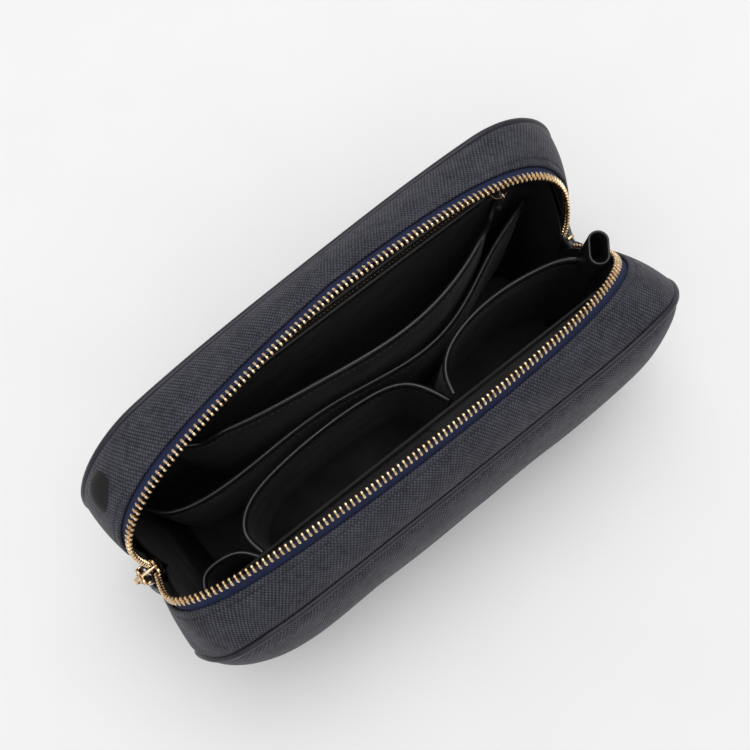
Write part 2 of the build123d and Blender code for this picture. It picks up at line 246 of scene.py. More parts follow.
def walk(path, pitch):
    """Evenly spaced points on a path, with the direction there and the position in the path."""
    path = np.asarray(path, float)
    steps = np.linalg.norm(np.diff(path, axis=0), axis=1)
    along = np.concatenate([[0], np.cumsum(steps)])
    marks = np.arange(pitch / 2, along[-1], pitch)
    spots = np.stack([np.interp(marks, along, path[:, k]) for k in range(3)], axis=1)
    index = np.interp(marks, along, np.arange(len(path)))
    ahead = np.stack([np.interp(marks + 0.4, along, path[:, k]) for k in range(3)], axis=1)
    behind = np.stack([np.interp(marks - 0.4, along, path[:, k]) for k in range(3)], axis=1)
    return spots, unit(ahead - behind), index


STITCH = rings([
    (-1.25, 0.08, 0.05, -0.3), (-1.0, 0.24, 0.2, -0.12), (-0.4, 0.3, 0.26, 0.04),
    (0.4, 0.3, 0.26, 0.04), (1.0, 0.24, 0.2, -0.12), (1.25, 0.08, 0.05, -0.3),
])


def stitches(name, path, normals, material, pitch=3.2, size=1.0):
    """A row of short raised stitches along a path that lies on a surface."""
    spots, forward, index = walk(path, pitch)
    normals = np.asarray(normals, float)
    if normals.ndim == 1:
        normals = np.tile(normals, (len(path), 1))
    up = unit(np.stack([np.interp(index, range(len(normals)), normals[:, k]) for k in range(3)], axis=1))
    across = unit(np.cross(up, forward))
    places = [(p, f * size, a * size, u * size) for p, f, a, u in zip(spots, forward, across, up)]
    return scatter(name, STITCH[0], STITCH[1], places, material)


def slab(name, outline, low, high, place, material, edge=0.25):
    """A flat piece with softened edges. outline is (a, b) points; place turns (a, b, c) into
    a point of the pouch, c going from low to high."""
    outline = np.asarray(outline, float)

    def grown(by):
        before, after = np.roll(outline, 1, axis=0), np.roll(outline, -1, axis=0)
        first, second = unit(outline - before), unit(after - outline)
        normal = unit(np.stack([(first + second)[:, 1], -(first + second)[:, 0]], axis=1))
        return outline + normal * by

    area = np.sum(outline[:, 0] * np.roll(outline[:, 1], -1) - outline[:, 1] * np.roll(outline[:, 0], -1))
    sign = 1 if area > 0 else -1
    levels = [(-edge, low), (-edge * 0.3, low + edge * 0.3), (0, low + edge), (0, high - edge),
              (-edge * 0.3, high - edge * 0.3), (-edge, high)]
    sections = [[place(a, b, c) for a, b in grown(sign * by)] for by, c in levels]
    return loft(name, sections, material, crisp=50)


def upright(a, b, c):
    """A point of a piece that faces along y: a along x, b up, c deep."""
    return np.array([a, c, b])


def endways(a, b, c):
    """A point of a piece that faces along x: a along y, b up, c deep."""
    return np.array([c, a, b])


def mirrored(half, *tip):
    """A symmetrical outline: one half, a tip on the axis if it has one, and the other half."""
    return [*half, *tip, *((-a, b) for a, b in half[::-1])]


def extent(node):
    """Low corner, high corner and middle of a CAD node, in millimetres."""
    low, high = (np.array(corner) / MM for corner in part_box(node))
    return low, high, (low + high) / 2


def rounded(width, height, corner, centre=(0, 0), steps=5):
    """Points of a rounded rectangle."""
    points = []
    for k, (sx, sy) in enumerate(((1, 1), (-1, 1), (-1, -1), (1, -1))):
        for j in range(steps + 1):
            angle = math.pi / 2 * (k + j / steps)
            points.append((
                centre[0] + sx * (width / 2 - corner) + corner * math.cos(angle),
                centre[1] + sy * (height / 2 - corner) + corner * math.sin(angle),
            ))
    return points


def join(name, pieces):
    """Several meshes as one piece."""
    with bpy.context.temp_override(
        active_object=pieces[0], selected_editable_objects=pieces, selected_objects=pieces
    ):
        bpy.ops.object.join()
    pieces[0].name = name
    return pieces[0]


def settle(piece, body, slot, *nodes):
    """Ride a piece on a body and hide the CAD nodes it stands for. slot is not used."""
    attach(piece, body)
    if nodes:
        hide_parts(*nodes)
    return piece


def bend(piece, side, end, slot, *nodes):
    """Bake a piece's place into its mesh and hide the CAD nodes it stands for."""
    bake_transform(piece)
    if nodes:
        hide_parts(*nodes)
    return piece


# ------------------------------------------------------------------ materials


class Finish:
    """A node material in the making."""

    def __init__(self, name):
        self.material = bpy.data.materials.new(name)
        self.material.use_nodes = True
        self.tree = self.material.node_tree
        self.shader = self.tree.nodes["Principled BSDF"]

    def node(self, kind, settings=None, **inputs):
        made = self.tree.nodes.new(kind)
        for key, value in (settings or {}).items():
            setattr(made, key, value)
        for key, value in inputs.items():
            self.put(made, key, value)
        return made

    def put(self, node, key, value):
        """Set or link an input, by its name with _ for spaces, or by number as i0, i1."""
        if key[0] == "i" and key[1:].isdigit():
            socket = node.inputs[int(key[1:])]
        else:
            socket = node.inputs[key.replace("_", " ")]
        if isinstance(value, bpy.types.NodeSocket):
            self.tree.links.new(value, socket)
        else:
            socket.default_value = value

    def maths(self, operation, a, b=0.0, c=0.0):
        return self.node("ShaderNodeMath", {"operation": operation}, i0=a, i1=b, i2=c).outputs[0]

    def uv(self, turn):
        """Millimetres along the surface, turned by some degrees."""
        source = self.node("ShaderNodeUVMap", {"uv_map": "UVMap"}).outputs[0]
        turned = (0, 0, math.radians(turn))
        return self.node("ShaderNodeMapping", Vector=source, Rotation=turned).outputs[0]

    def place(self):
        """The point of the object, in metres."""
        return self.node("ShaderNodeTexCoord").outputs["Object"]

    def lines(self, turn, pitch, waver=0.6, detail=1.0):
        """Parallel ridges, 0 to 1, one every pitch millimetres."""
        return self.node(
            "ShaderNodeTexWave",
            {"wave_type": "BANDS", "bands_direction": "X", "wave_profile": "SIN"},
            Vector=self.uv(turn),
            Scale=math.pi / 10 / pitch,
            Distortion=waver,
            Detail=2.0,
            Detail_Scale=detail,
        ).outputs["Fac"]

    def clouds(self, size, detail=3.0):
        """Soft noise, 0 to 1, with lumps of about size millimetres."""
        return self.node(
            "ShaderNodeTexNoise", Vector=self.place(), Scale=1 / MM / size, Detail=detail
        ).outputs["Fac"]

    def pebbles(self, size):
        """Rounded cells, 0 to 1, about size millimetres across."""
        return self.node(
            "ShaderNodeTexVoronoi", {"feature": "SMOOTH_F1"}, Vector=self.place(), Scale=1 / (size * MM)
        ).outputs[0]

    def shades(self, value, *stops):
        made = self.node("ShaderNodeValToRGB", Fac=value)
        band = made.color_ramp
        while len(band.elements) < len(stops):
            band.elements.new(0.5)
        for element, (position, colour) in zip(band.elements, stops):
            element.position = position
            element.color = (*colour, 1)
        return made.outputs["Color"]

    def spread(self, value, low, high, out_low, out_high):
        return self.node(
            "ShaderNodeMapRange", i0=value, i1=low, i2=high, i3=out_low, i4=out_high
        ).outputs[0]

    def bump(self, value, millimetres, strength=1.0, below=None):
        made = self.node(
            "ShaderNodeBump", Height=value, Distance=millimetres * MM, Strength=strength
        )
        if below is not None:
            self.put(made, "Normal", below)
        return made.outputs["Normal"]

    def finish(self, **inputs):
        for key, value in inputs.items():
            self.put(self.shader, key, value)
        return self.material


def crossgrain(name, dark, light, pitch=1.35, depth=0.3, rough=(0.36, 0.6), gloss=0.28):
    """Coated leather pressed with fine crossing diagonal lines."""
    f = Finish(name)
    first = f.lines(31, pitch, waver=3.4, detail=0.22)
    second = f.lines(-47, pitch * 0.86, waver=3.0, detail=0.3)
    grid = f.maths("MULTIPLY", first, second)
    uneven = f.clouds(9.0)
    worn = f.spread(f.clouds(2.4, 2.0), 0.3, 0.65, 0.35, 1.0)
    lift = f.maths("MULTIPLY_ADD", f.maths("ADD", first, second), 0.15, f.maths("MULTIPLY", grid, 0.7))
    lift = f.maths("MULTIPLY", lift, worn)
    tone = f.maths("MULTIPLY_ADD", uneven, 0.35, f.maths("MULTIPLY", lift, 0.85))
    colour = f.shades(tone, (0.16, dark), (0.8, light))
    fine = f.bump(f.clouds(0.5), 0.03, 0.5)
    wrinkle = f.bump(f.clouds(14.0, 2.0), 0.5, 0.5, fine)
    normal = f.bump(lift, depth, 0.9, wrinkle)
    return f.finish(
        Base_Color=colour,
        Roughness=f.spread(tone, 0.2, 0.9, rough[1], rough[0]),
        Normal=normal,
        Specular_IOR_Level=gloss,
    )


def smooth_leather(name, dark, light, rough=(0.34, 0.5), gloss=0.35):
    """Fine pebbled leather for piping, bindings and tabs."""
    f = Finish(name)
    pebble = f.pebbles(0.75)
    uneven = f.clouds(6.0)
    tone = f.maths("MULTIPLY_ADD", uneven, 0.7, f.maths("MULTIPLY", pebble, 0.4))
    creases = f.bump(f.clouds(4.0), 0.18, 0.6)
    return f.finish(
        Base_Color=f.shades(tone, (0.25, dark), (0.85, light)),
        Roughness=f.spread(uneven, 0.3, 0.7, rough[0], rough[1]),
        Normal=f.bump(pebble, 0.05, 0.6, creases),
        Specular_IOR_Level=gloss,
    )


def woven(name, dark, light, pitch=0.55, depth=0.08, rough=0.75, sheen=0.2):
    """Tape or thread: fine ribs along and across."""
    f = Finish(name)
    along = f.lines(90, pitch, waver=0.4)
    over = f.lines(28, pitch * 0.8, waver=0.4)
    grid = f.maths("MULTIPLY", along, over)
    tone = f.maths("MULTIPLY_ADD", f.clouds(5.0), 0.3, f.maths("MULTIPLY", grid, 0.7))
    return f.finish(
        Base_Color=f.shades(tone, (0.1, dark), (0.8, light)),
        Roughness=rough,
        Normal=f.bump(grid, depth, 0.8),
        Specular_IOR_Level=0.2,
        Sheen_Weight=sheen,
        Sheen_Roughness=0.5,
    )


def metal(name, dark, light, rough=(0.16, 0.34)):
    """Plated metal with faint rubbing marks and duller, darker patches at random."""
    f = Finish(name)
    worn = f.clouds(2.5, 5.0)
    fine = f.clouds(0.35, 2.0)
    return f.finish(
        Base_Color=f.shades(worn, (0.3, dark), (0.6, light)),
        Roughness=f.spread(worn, 0.3, 0.7, rough[1], rough[0]),
        Metallic=1.0,
        Normal=f.bump(fine, 0.012, 0.4),
    )


def cloth_lining(name, dark, light):
    """Close dark twill with soft creases, painted darker where the creases dip: painted shade."""
    f = Finish(name)
    twill = f.lines(45, 0.6, waver=0.3)
    creases = f.clouds(17.0, 3.0)
    # The colour follows the crease height as well as the twill, so the cloth is painted darker in the crease
    # hollows: painted shade. The twill's tone is the weave's own.
    tone = f.maths("MULTIPLY_ADD", creases, 0.6, f.maths("MULTIPLY", twill, 0.3))
    soft = f.bump(creases, 1.6, 0.7)
    return f.finish(
        Base_Color=f.shades(tone, (0.2, dark), (0.8, light)),
        Roughness=f.spread(creases, 0.3, 0.7, 0.55, 0.7),
        Normal=f.bump(twill, 0.04, 0.5, soft),
        Specular_IOR_Level=0.25,
        Sheen_Weight=0.06,
        Sheen_Roughness=0.4,
    )


NAVY = crossgrain("navy_crossgrain_leather", (0.006, 0.0065, 0.012), (0.070, 0.070, 0.094))
PIPING_NAVY = smooth_leather("navy_piping_leather", (0.007, 0.0075, 0.013), (0.030, 0.031, 0.043))
BLACK_LEATHER = smooth_leather(
    "black_binding_leather", (0.0045, 0.0045, 0.006), (0.013, 0.0125, 0.015), (0.28, 0.42), 0.5
)
TAPE_BLUE = woven("navy_zip_tape", (0.004, 0.007, 0.026), (0.030, 0.044, 0.125), depth=0.14, sheen=0.05)
THREAD = woven("navy_thread", (0.012, 0.013, 0.022), (0.035, 0.037, 0.055), pitch=0.35, depth=0.04)
BLACK_THREAD = woven("black_thread", (0.012, 0.012, 0.013), (0.04, 0.038, 0.042), pitch=0.35, depth=0.04)
GOLD = metal("polished_gold", (0.60, 0.41, 0.22), (0.90, 0.70, 0.46))
BRONZE = metal("dark_bronze", (0.16, 0.10, 0.06), (0.34, 0.24, 0.15), (0.25, 0.4))
SILVERY = metal("pale_puller", (0.62, 0.56, 0.50), (0.86, 0.80, 0.74))
LINING = cloth_lining("black_lining", (0.0035, 0.0027, 0.0032), (0.010, 0.0078, 0.0085))
BOARD = woven("base_board", (0.05, 0.045, 0.04), (0.10, 0.09, 0.08), pitch=1.0, sheen=0.0)


# ------------------------------------------------------- shape of the pouch


def wall_y(side, x, z):
    """Outer face of a wall at x and z."""
    along = x / HALF_LENGTH
    out = BACK_LEAN * z / TOP["back"] if side == "back" else FRONT_SWELL * z - FRONT_TUCK * z**2
    pull = END_PULL[side] * abs(along) ** PULL_POWER[side] - TWIST[side] * along
    return SIDE[side] * (HALF_BASE + out * (1 - pull))


def rail(side, end, turn):
    """The tooth line: turn 0 is the V at one end, a quarter turn the middle of the mouth."""
    vx, vy, vz = VEE[end]
    my, mz = MID_RAIL[side]
    flat, blunt = SPREAD[side, end]
    along = math.sqrt(max(math.cos(turn), 0.0))
    rise = math.sqrt(max(math.sin(turn), 0.0))
    start = vy + SIDE[side] * VEE_GAP
    y = start + (my - start) * max(1 - along**flat, 0.0) ** (1 / blunt)
    return np.array([vx * along, y, vz + (mz - vz) * rise])


def ridge(side, end, share):
    """The piping line from the height of the V, share 0, round the corner to the top."""
    corner = TOP_CORNER[side]
    low = TOP[side] - corner
    height = VEE[end][2]
    straight = max(low - height, 0.0)
    first = math.asin(max(height - low, 0.0) / corner)
    run = share * (straight + corner * (math.pi / 2 - first))
    if run < straight:
        x, z = HALF_LENGTH, height + run
    else:
        angle = first + (run - straight) / corner
        x = HALF_LENGTH - corner * (1 - math.cos(angle))
        z = low + corner * math.sin(angle)
    x *= SIGN[end]
    return np.array([x, wall_y(side, x, z), z])


class Line:
    """Stations along half of one side of the mouth, from the V to the middle."""

    def __init__(self, side, end):
        corner = HALF_LENGTH - TOP_CORNER[side]
        vx = abs(VEE[end][0])
        last = math.acos((corner / vx) ** 2)
        outer, inner, share = [], [], []
        for s in np.linspace(0, 1, 64):
            outer.append(ridge(side, end, s))
            inner.append(rail(side, end, last * s))
            share.append(s)
        for x in np.linspace(corner, 0, 44)[1:]:
            there = SIGN[end] * x
            outer.append(np.array([there, wall_y(side, there, TOP[side]), TOP[side]]))
            inner.append(rail(side, end, math.acos((x / vx) ** 2)))
            share.append(1 + (corner - x) / corner)
        self.outer, self.inner, self.share = np.array(outer), np.array(inner), np.array(share)
        forward = np.gradient(self.outer + self.inner, axis=0)
        self.across = unit(self.inner - self.outer)
        into = unit(np.cross(self.across, forward))
        facing = np.sum(into * (np.array([0, 0, 60.0]) - self.outer), axis=1)
        self.into = into * np.sign(facing)[:, None]
        self.width = np.linalg.norm(self.inner - self.outer, axis=1)

    def at(self, k, reach, depth):
        """Points at distances across from the piping and depths into the pouch."""
        reach, depth = np.atleast_1d(reach), np.atleast_1d(depth)
        return self.outer[k] + reach[:, None] * self.across[k] + depth[:, None] * self.into[k]

    def sections(self, profile):
        return [self.at(k, *profile(self.width[k])) for k in range(len(self.width))]

    def path(self, from_rail, depth):
        """A line at a fixed distance from the tooth line."""
        return np.array([self.at(k, w - from_rail, depth)[0] for k, w in enumerate(self.width)])


LINES = {(side, end): Line(side, end) for side in SIDES for end in ENDS}


def outline_path(side):
    """The rounded outline of a wall as (x, z, inward x, inward z), all the way round."""
    found = []
    top, corner = TOP[side], TOP_CORNER[side]
    for sign in (1, -1):
        quarter = []
        for x in np.linspace(0, HALF_LENGTH - BASE_CORNER, 26)[:-1]:
            quarter.append((x, 0.0, 0.0, 1.0))
        for a in np.linspace(0, math.pi / 2, 18):
            s, c = math.sin(a), math.cos(a)
            quarter.append((HALF_LENGTH - BASE_CORNER * (1 - s), BASE_CORNER * (1 - c), -s, c))
        for z in np.linspace(BASE_CORNER, top - corner, 16)[1:-1]:
            quarter.append((HALF_LENGTH, z, -1.0, 0.0))
        for a in np.linspace(0, math.pi / 2, 24):
            s, c = math.sin(a), math.cos(a)
            quarter.append((HALF_LENGTH - corner * (1 - c), top - corner + corner * s, -c, -s))
        for x in np.linspace(HALF_LENGTH - corner, 0, 22)[1:]:
            quarter.append((x, top, 0.0, -1.0))
        half = [(sign * x, z, sign * nx, nz) for x, z, nx, nz in quarter]
        found += half[:-1] if sign == 1 else half[:0:-1]
    return np.array(found)


# -------------------------------------------------- leather shell and piping


def edge_distance(side, x, z):
    """How far inside the rounded outline a point of a wall is."""
    top, upper = TOP[side], TOP_CORNER[side]
    found = np.minimum(np.minimum(HALF_LENGTH - abs(x), z), top - z)
    for corner, height in ((BASE_CORNER, BASE_CORNER - z), (upper, z - (top - upper))):
        over = abs(x) - (HALF_LENGTH - corner)
        if over > 0:
            inside = corner - np.hypot(over, np.maximum(height, 0))
            found = np.where(height > 0, np.minimum(found, inside), found)
    return found


def panel(side):
    """A swelling wall that dips to its piping all round, with faint hand-made unevenness."""
    inset = 2.3
    corner = TOP_CORNER[side]
    edge = HALF_LENGTH - inset
    across = np.sin(np.linspace(-math.pi / 2, math.pi / 2, 97)) * edge
    up = (1 - np.cos(np.linspace(0, math.pi, 61))) / 2
    verts = []
    for x in across:
        low_over = max(abs(x) - (HALF_LENGTH - BASE_CORNER), 0.0)
        high_over = max(abs(x) - (HALF_LENGTH - corner), 0.0)
        low = BASE_CORNER - math.sqrt(max((BASE_CORNER - inset) ** 2 - low_over**2, 0.0))
        high = TOP[side] - corner + math.sqrt(max((corner - inset) ** 2 - high_over**2, 0.0))
        z = low + (high - low) * up
        away = edge_distance(side, x, z)
        puff = -1.5 + 1.9 * (1 - np.exp(-(away - inset) / 2.4))
        waves = np.array([noise.noise(Vector((x / 34, h / 26, 3.0 * SIDE[side]))) for h in z])
        y = wall_y(side, x, z) + SIDE[side] * (puff + 0.9 * waves * ramp(away, 3, 22))
        verts.append(np.stack([np.full(len(z), x), y, z], axis=1))
    outer = np.array(verts)
    inner = outer.copy()
    inner[:, :, 1] -= SIDE[side] * 1.6
    sections = np.concatenate([outer, inner[:, ::-1]], axis=1)
    piece = loft(f"{side}_wall_leather", sections, NAVY, crisp=60)
    return settle(piece, "pouch", "exterior_leather", f"{side}_panel")


def piping(side):
    """The corded edge that joins a wall to the gusset."""
    sections = []
    angles = np.arange(14) * 2 * math.pi / 14
    for x, z, nx, nz in outline_path(side):
        inward = np.array([nx, 0, nz])
        centre = np.array([x, wall_y(side, x, z) - SIDE[side] * 1.2, z]) + inward * CORD
        sections.append(
            centre
            + CORD * np.cos(angles)[:, None] * inward
            + CORD * np.sin(angles)[:, None] * np.array([0, SIDE[side], 0])
        )
    piece = loft(f"{side}_corded_edge", sections, PIPING_NAVY, closed=True)
    return settle(piece, "pouch", "piping_leather", f"{side}_piping")


def strip_profile(width):
    """Across a leather strip beside the zip: tucked at the piping, creased by the stitching,
    and folded back at the tape."""
    low, high = 2.2, width - TAPE_SHOWS
    reach = np.concatenate([np.linspace(low, high - 6, 12), np.linspace(high - 5.4, high - 0.9, 14)])
    t = (reach - low) / (high - 0.9 - low)
    lift = 1.2 * np.sin(np.pi * t) ** 0.9
    lift -= 0.9 * np.exp(-(((reach - low) / 1.2) ** 2))
    lift -= 0.55 * np.exp(-(((high - reach - 3.3) / 0.55) ** 2))
    turn = np.radians([60, 30, 0, -30, -60, -90])
    fold_s = high - 0.9 + 0.9 * np.cos(turn)
    fold_h = -0.9 + 0.9 * np.sin(turn)
    under = np.linspace(high - 3, low, 5)
    reach = np.concatenate([reach, fold_s, under])
    lift = np.concatenate([lift, fold_h, np.full(5, -LEATHER)])
    return reach, -lift


def tape_profile(width):
    """Across a zip tape: flat and thin, thickening to the cord that the teeth grip."""
    low, high = width - TAPE_SHOWS - 3.4, width - 1.5
    reach = np.array([low, low + 1, low + 3, high - 2.4, high - 1.6, high - 0.8, high - 0.2, high,
                      high - 0.2, high - 0.8, high - 1.6, high - 2.4, low + 3, low + 1, low])
    depth = np.array([1.95, 1.95, 1.95, 1.95, 1.85, 1.6, 1.75, 2.2,
                      2.65, 2.8, 2.55, 2.45, 2.45, 2.45, 2.45])
    return reach, depth


TOOTH = rings([
    (-2.75, 0.3, 0.75, 0.0), (-2.6, 0.55, 1.1, 0.0), (-2.1, 0.68, 1.3, 0.0), (-1.2, 0.7, 1.32, 0.0),
    (-0.7, 0.6, 1.2, 0.0), (-0.25, 0.44, 0.95, 0.0), (0.15, 0.5, 0.86, 0.05), (0.55, 0.6, 0.92, 0.12),
    (0.95, 0.5, 0.72, 0.06), (1.1, 0.25, 0.4, 0.0),
])


def teeth(side, end):
    """Metal teeth clamped on the cord of a tape, evenly spaced from the middle outwards."""
    line = LINES[side, end]
    path = line.path(0.0, 2.2)[::-1]
    spots, forward, index = walk(path, TOOTH_PITCH)
    places = []
    for spot, ahead, k in zip(spots, forward, index):
        at = len(path) - 1 - k
        low, share = int(at), at - int(at)
        high = min(low + 1, len(path) - 1)
        across = unit(line.across[low] * (1 - share) + line.across[high] * share)
        facing = unit(np.cross(across, ahead))
        if facing @ line.into[low] > 0:
            facing = -facing
        across = unit(np.cross(ahead, facing) * np.sign(np.cross(ahead, facing) @ across))
        places.append((spot, across, ahead, facing))
    return scatter(f"{side}_tooth_row_{end}", TOOTH[0], TOOTH[1], places, GOLD)


def mouth(side, end):
    """Strip, stitching, tape and teeth for one half of one side."""
    line = LINES[side, end]
    bend(loft(f"{side}_strip_leather_{end}", line.sections(strip_profile), NAVY, crisp=70),
         side, end, "exterior_leather", f"{side}_strip_{end}", f"{side}_strip_mid")
    seam = line.path(TAPE_SHOWS + 3.3, 0.42)
    bend(stitches(f"{side}_strip_stitches_{end}", seam, -line.into, THREAD),
         side, end, "exterior_leather")
    bend(loft(f"{side}_zip_tape_{end}", line.sections(tape_profile), TAPE_BLUE, crisp=60),
         side, end, "zip_tape", f"{side}_tape_{end}", f"{side}_tape_mid")
    bend(teeth(side, end), side, end, "zip_metal", f"{side}_teeth_{end}", f"{side}_teeth_mid")


def gusset():
    """The band under and up both ends, folded inwards towards each V."""
    stations = []
    for end in ENDS:
        sign = SIGN[end]
        vz = VEE[end][2]
        part = []
        for z in np.linspace(vz - 0.4, BASE_CORNER, 30):
            part.append((sign * HALF_LENGTH, z, (-sign, 0, 0), end))
        for a in np.linspace(math.pi / 2, 0, 20)[1:]:
            s, c = math.sin(a), math.cos(a)
            x = HALF_LENGTH - BASE_CORNER * (1 - s)
            part.append((sign * x, BASE_CORNER * (1 - c), (-sign * s, 0, c), end))
        for x in np.linspace(HALF_LENGTH - BASE_CORNER, 0, 14)[1:]:
            part.append((sign * x, 0.0, (0, 0, 1.0), end))
        stations += part if end == "left" else part[:-1][::-1]
    t = np.linspace(0, 1, 15)
    sections = []
    for x, z, into, end in stations:
        sign, into = SIGN[end], np.array(into)
        vx, vy, vz = VEE[end]
        share = min(z / vz, 1.0)
        pulled = {}
        for side in SIDES:
            corner = TOP_CORNER[side]
            over = max(z - (TOP[side] - corner), 0.0)
            px = x - sign * (corner - math.sqrt(corner**2 - over**2))
            pulled[side] = np.array([px, wall_y(side, px, z) - SIDE[side] * 2.0, z]) + into * 0.3
        fold = np.array([x + (vx - sign * (HALF_LENGTH - CREASE)) * share**2, vy * share, z])
        fold = fold + into * (CREASE + 0.3)
        lift = (1.2 * np.sin(np.pi * t) ** 0.9) * ramp(z, 2, 40) - 0.7 * np.exp(-((t / 0.05) ** 2))
        lift = np.minimum(lift, z + 0.3) if z < 2 else lift
        row = []
        for side, order in (("front", 1), ("back", -1)):
            half = pulled[side] + t[:, None] * (fold - pulled[side]) - lift[:, None] * into
            row.append(half if order == 1 else half[::-1][1:])
        row = np.concatenate(row)
        sections.append(np.concatenate([row, (row + into * 1.5)[::-1]]))
    piece = loft("gusset_leather", sections, NAVY, crisp=60)
    return settle(piece, "pouch", "exterior_leather", "gusset_left", "gusset_base", "gusset_right")


# ------------------------------------------------------------------ inside


def lining_y(side, z):
    """Inner face of the lining on one side at height z."""
    if side == "front":
        return np.full_like(np.asarray(z, float), LINING_Y["front"])
    return np.interp(z, [FLOOR, BACK_UPRIGHT_FROM], [FLOOR_BACK_Y, LINING_Y["back"]])


def lining_x(end, z):
    """Inner face of the lining at one end, drawn in towards the floor."""
    low = 1 - np.minimum(np.asarray(z, float), DRAWN_BELOW) / DRAWN_BELOW
    return LINING_X[end] - SIGN[end] * DRAWN_IN * low**1.5


def lining_plan(side, end, share):
    """Where in plan the lining hangs below a station of the mouth, as shares of its box:
    an x from the middle (0) to the end (1) and a y from the V's fold (0) to the wall (1)."""
    corner = HALF_LENGTH - TOP_CORNER[side]
    if share >= 1:
        return "wall", corner * (2 - share)
    reach = abs(LINING_X[end])
    along = reach - LINING_CORNER - corner
    arc = LINING_CORNER * math.pi / 2
    depth = abs(LINING_Y[side] - VEE[end][1]) - LINING_CORNER
    run = (1 - share) * (along + arc + depth)
    if run < along:
        return "wall", corner + run
    if run < along + arc:
        return "corner", (run - along) / LINING_CORNER
    return "end", (run - along - arc) / depth


def lining_point(side, end, share, z, out=0.0):
    """A point of the lining below a station; out moves it towards the shell."""
    kind, value = lining_plan(side, end, share)
    sy, sx = SIDE[side], SIGN[end]
    y_wall = float(lining_y(side, z)) + sy * out
    x_end = float(lining_x(end, z)) + sx * out
    x_corner, y_corner = x_end - sx * LINING_CORNER, y_wall - sy * LINING_CORNER
    if kind == "wall":
        limit = abs(x_corner)
        return np.array([sx * min(value, limit), y_wall, z])
    if kind == "corner":
        x = x_corner + sx * LINING_CORNER * math.sin(value)
        return np.array([x, y_corner + sy * LINING_CORNER * math.cos(value), z])
    return np.array([x_end, y_corner + (VEE[end][1] - y_corner) * value, z])


def lining_top(side, end, share, rail_z):
    """Height of the lining's upper edge below a station of the mouth, under its strip."""
    drop, limit = (14.0, 106.0) if side == "front" else (10.0 + 4.0 * (1 - min(share, 1.0)), 131.0)
    line = LINES[side, end]
    k = min(int(np.searchsorted(line.share, share)), len(line.share) - 1)
    outer, run = line.outer[k], line.inner[k] - line.outer[k]
    spot = lining_point(side, end, share, limit)
    part = np.clip((spot - outer)[:2] @ run[:2] / (run[:2] @ run[:2]), 0, 1)
    return min(rail_z - drop, limit, outer[2] + part * run[2] - STRIP_ROOM)


def skirts(side, end):
    """The lining's facing, from under the tape down behind the lining's upper edge."""
    line = LINES[side, end]
    ahead = np.gradient(line.outer, axis=0)
    sections = []
    for k, share in enumerate(line.share):
        top = line.at(k, [line.width[k] - 2.9, line.width[k] - 6.0], [2.95, 3.3])
        low_z = lining_top(side, end, share, line.inner[k][2]) - FACING_TUCK[side]
        foot = lining_point(side, end, share, low_z, out=FACING_BEHIND[side])
        t = np.linspace(0, 1, 9)[:, None]
        middle = (top[1] + foot) / 2
        if side == "back":
            middle = np.array([foot[0], foot[1], top[1][2] - 1.5])
        fall = (1 - t) ** 2 * top[1] + 2 * t * (1 - t) * middle + t**2 * foot
        face = np.concatenate([top[:1], fall])
        through = unit(np.cross(np.gradient(face, axis=0), ahead[k]))
        behind = face + through * 0.5
        sections.append(np.concatenate([face, behind[::-1]]))
    piece = loft(f"{side}_facing_{end}", sections, LINING, crisp=60)
    return bend(piece, side, end, "lining")


def lining_bag():
    """The hanging lining as one soft bag, and its floor."""
    loops = []
    for side, ends in (("front", ("left", "right")), ("back", ("right", "left"))):
        for end, turn in zip(ends, (1, -1)):
            line = LINES[side, end]
            stations = [(side, end, s, z) for s, z in zip(line.share, line.inner[:, 2])][::3]
            stations.append((side, end, line.share[-1], line.inner[-1, 2]))
            loops += stations[::turn][:-1]
    sections = []
    for side, end, share, rail_z in loops:
        top = lining_top(side, end, share, rail_z)
        heights = np.concatenate([[top], np.linspace(top - 2.0, 30, 9), [22, 15, 10, FLOOR]])
        inner, outer = [], []
        for h in heights:
            point = lining_point(side, end, share, h)
            slack = noise.noise(Vector((point[0] / 30, point[1] / 30, h / 24))) * 1.4
            out = unit(lining_point(side, end, share, h, out=2.0) - point)
            slack *= ramp(top - h, 0, 25) * (0.35 if side == "back" else 1.0)
            inner.append(point - out * max(slack, -0.4))
            outer.append(point + out)
        sections.append(np.concatenate([inner, outer[::-1]]))
    piece = loft("lining_bag", sections, LINING, closed=True, crisp=60)
    settle(piece, "pouch", "lining", "lining_front", "lining_back", "lining_left", "lining_right")
    rows = []
    left, right = float(lining_x("left", FLOOR)), float(lining_x("right", FLOOR))
    middle = (left + right) / 2
    half = right - middle + 0.6
    y0, y1 = LINING_Y["front"] - 0.6, FLOOR_BACK_Y + 0.6
    for x in np.sin(np.linspace(-math.pi / 2, math.pi / 2, 41)):
        pinch = math.sqrt(max(1 - max(abs(x) * half - half + 10, 0) ** 2 / 100, 0.02))
        yc, yh = (y0 + y1) / 2, (y1 - y0) / 2 * (0.7 + 0.3 * pinch)
        ys = yc + yh * np.linspace(-1, 1, 15)
        top = np.stack([np.full(15, middle + x * half), ys, np.full(15, FLOOR - 0.1)], axis=1)
        rows.append(np.concatenate([top, (top - np.array([0, 0, 1.1]))[::-1]]))
    floor = loft("lining_floor", rows, LINING, crisp=60)
    settle(floor, "pouch", "lining", "lining_base")


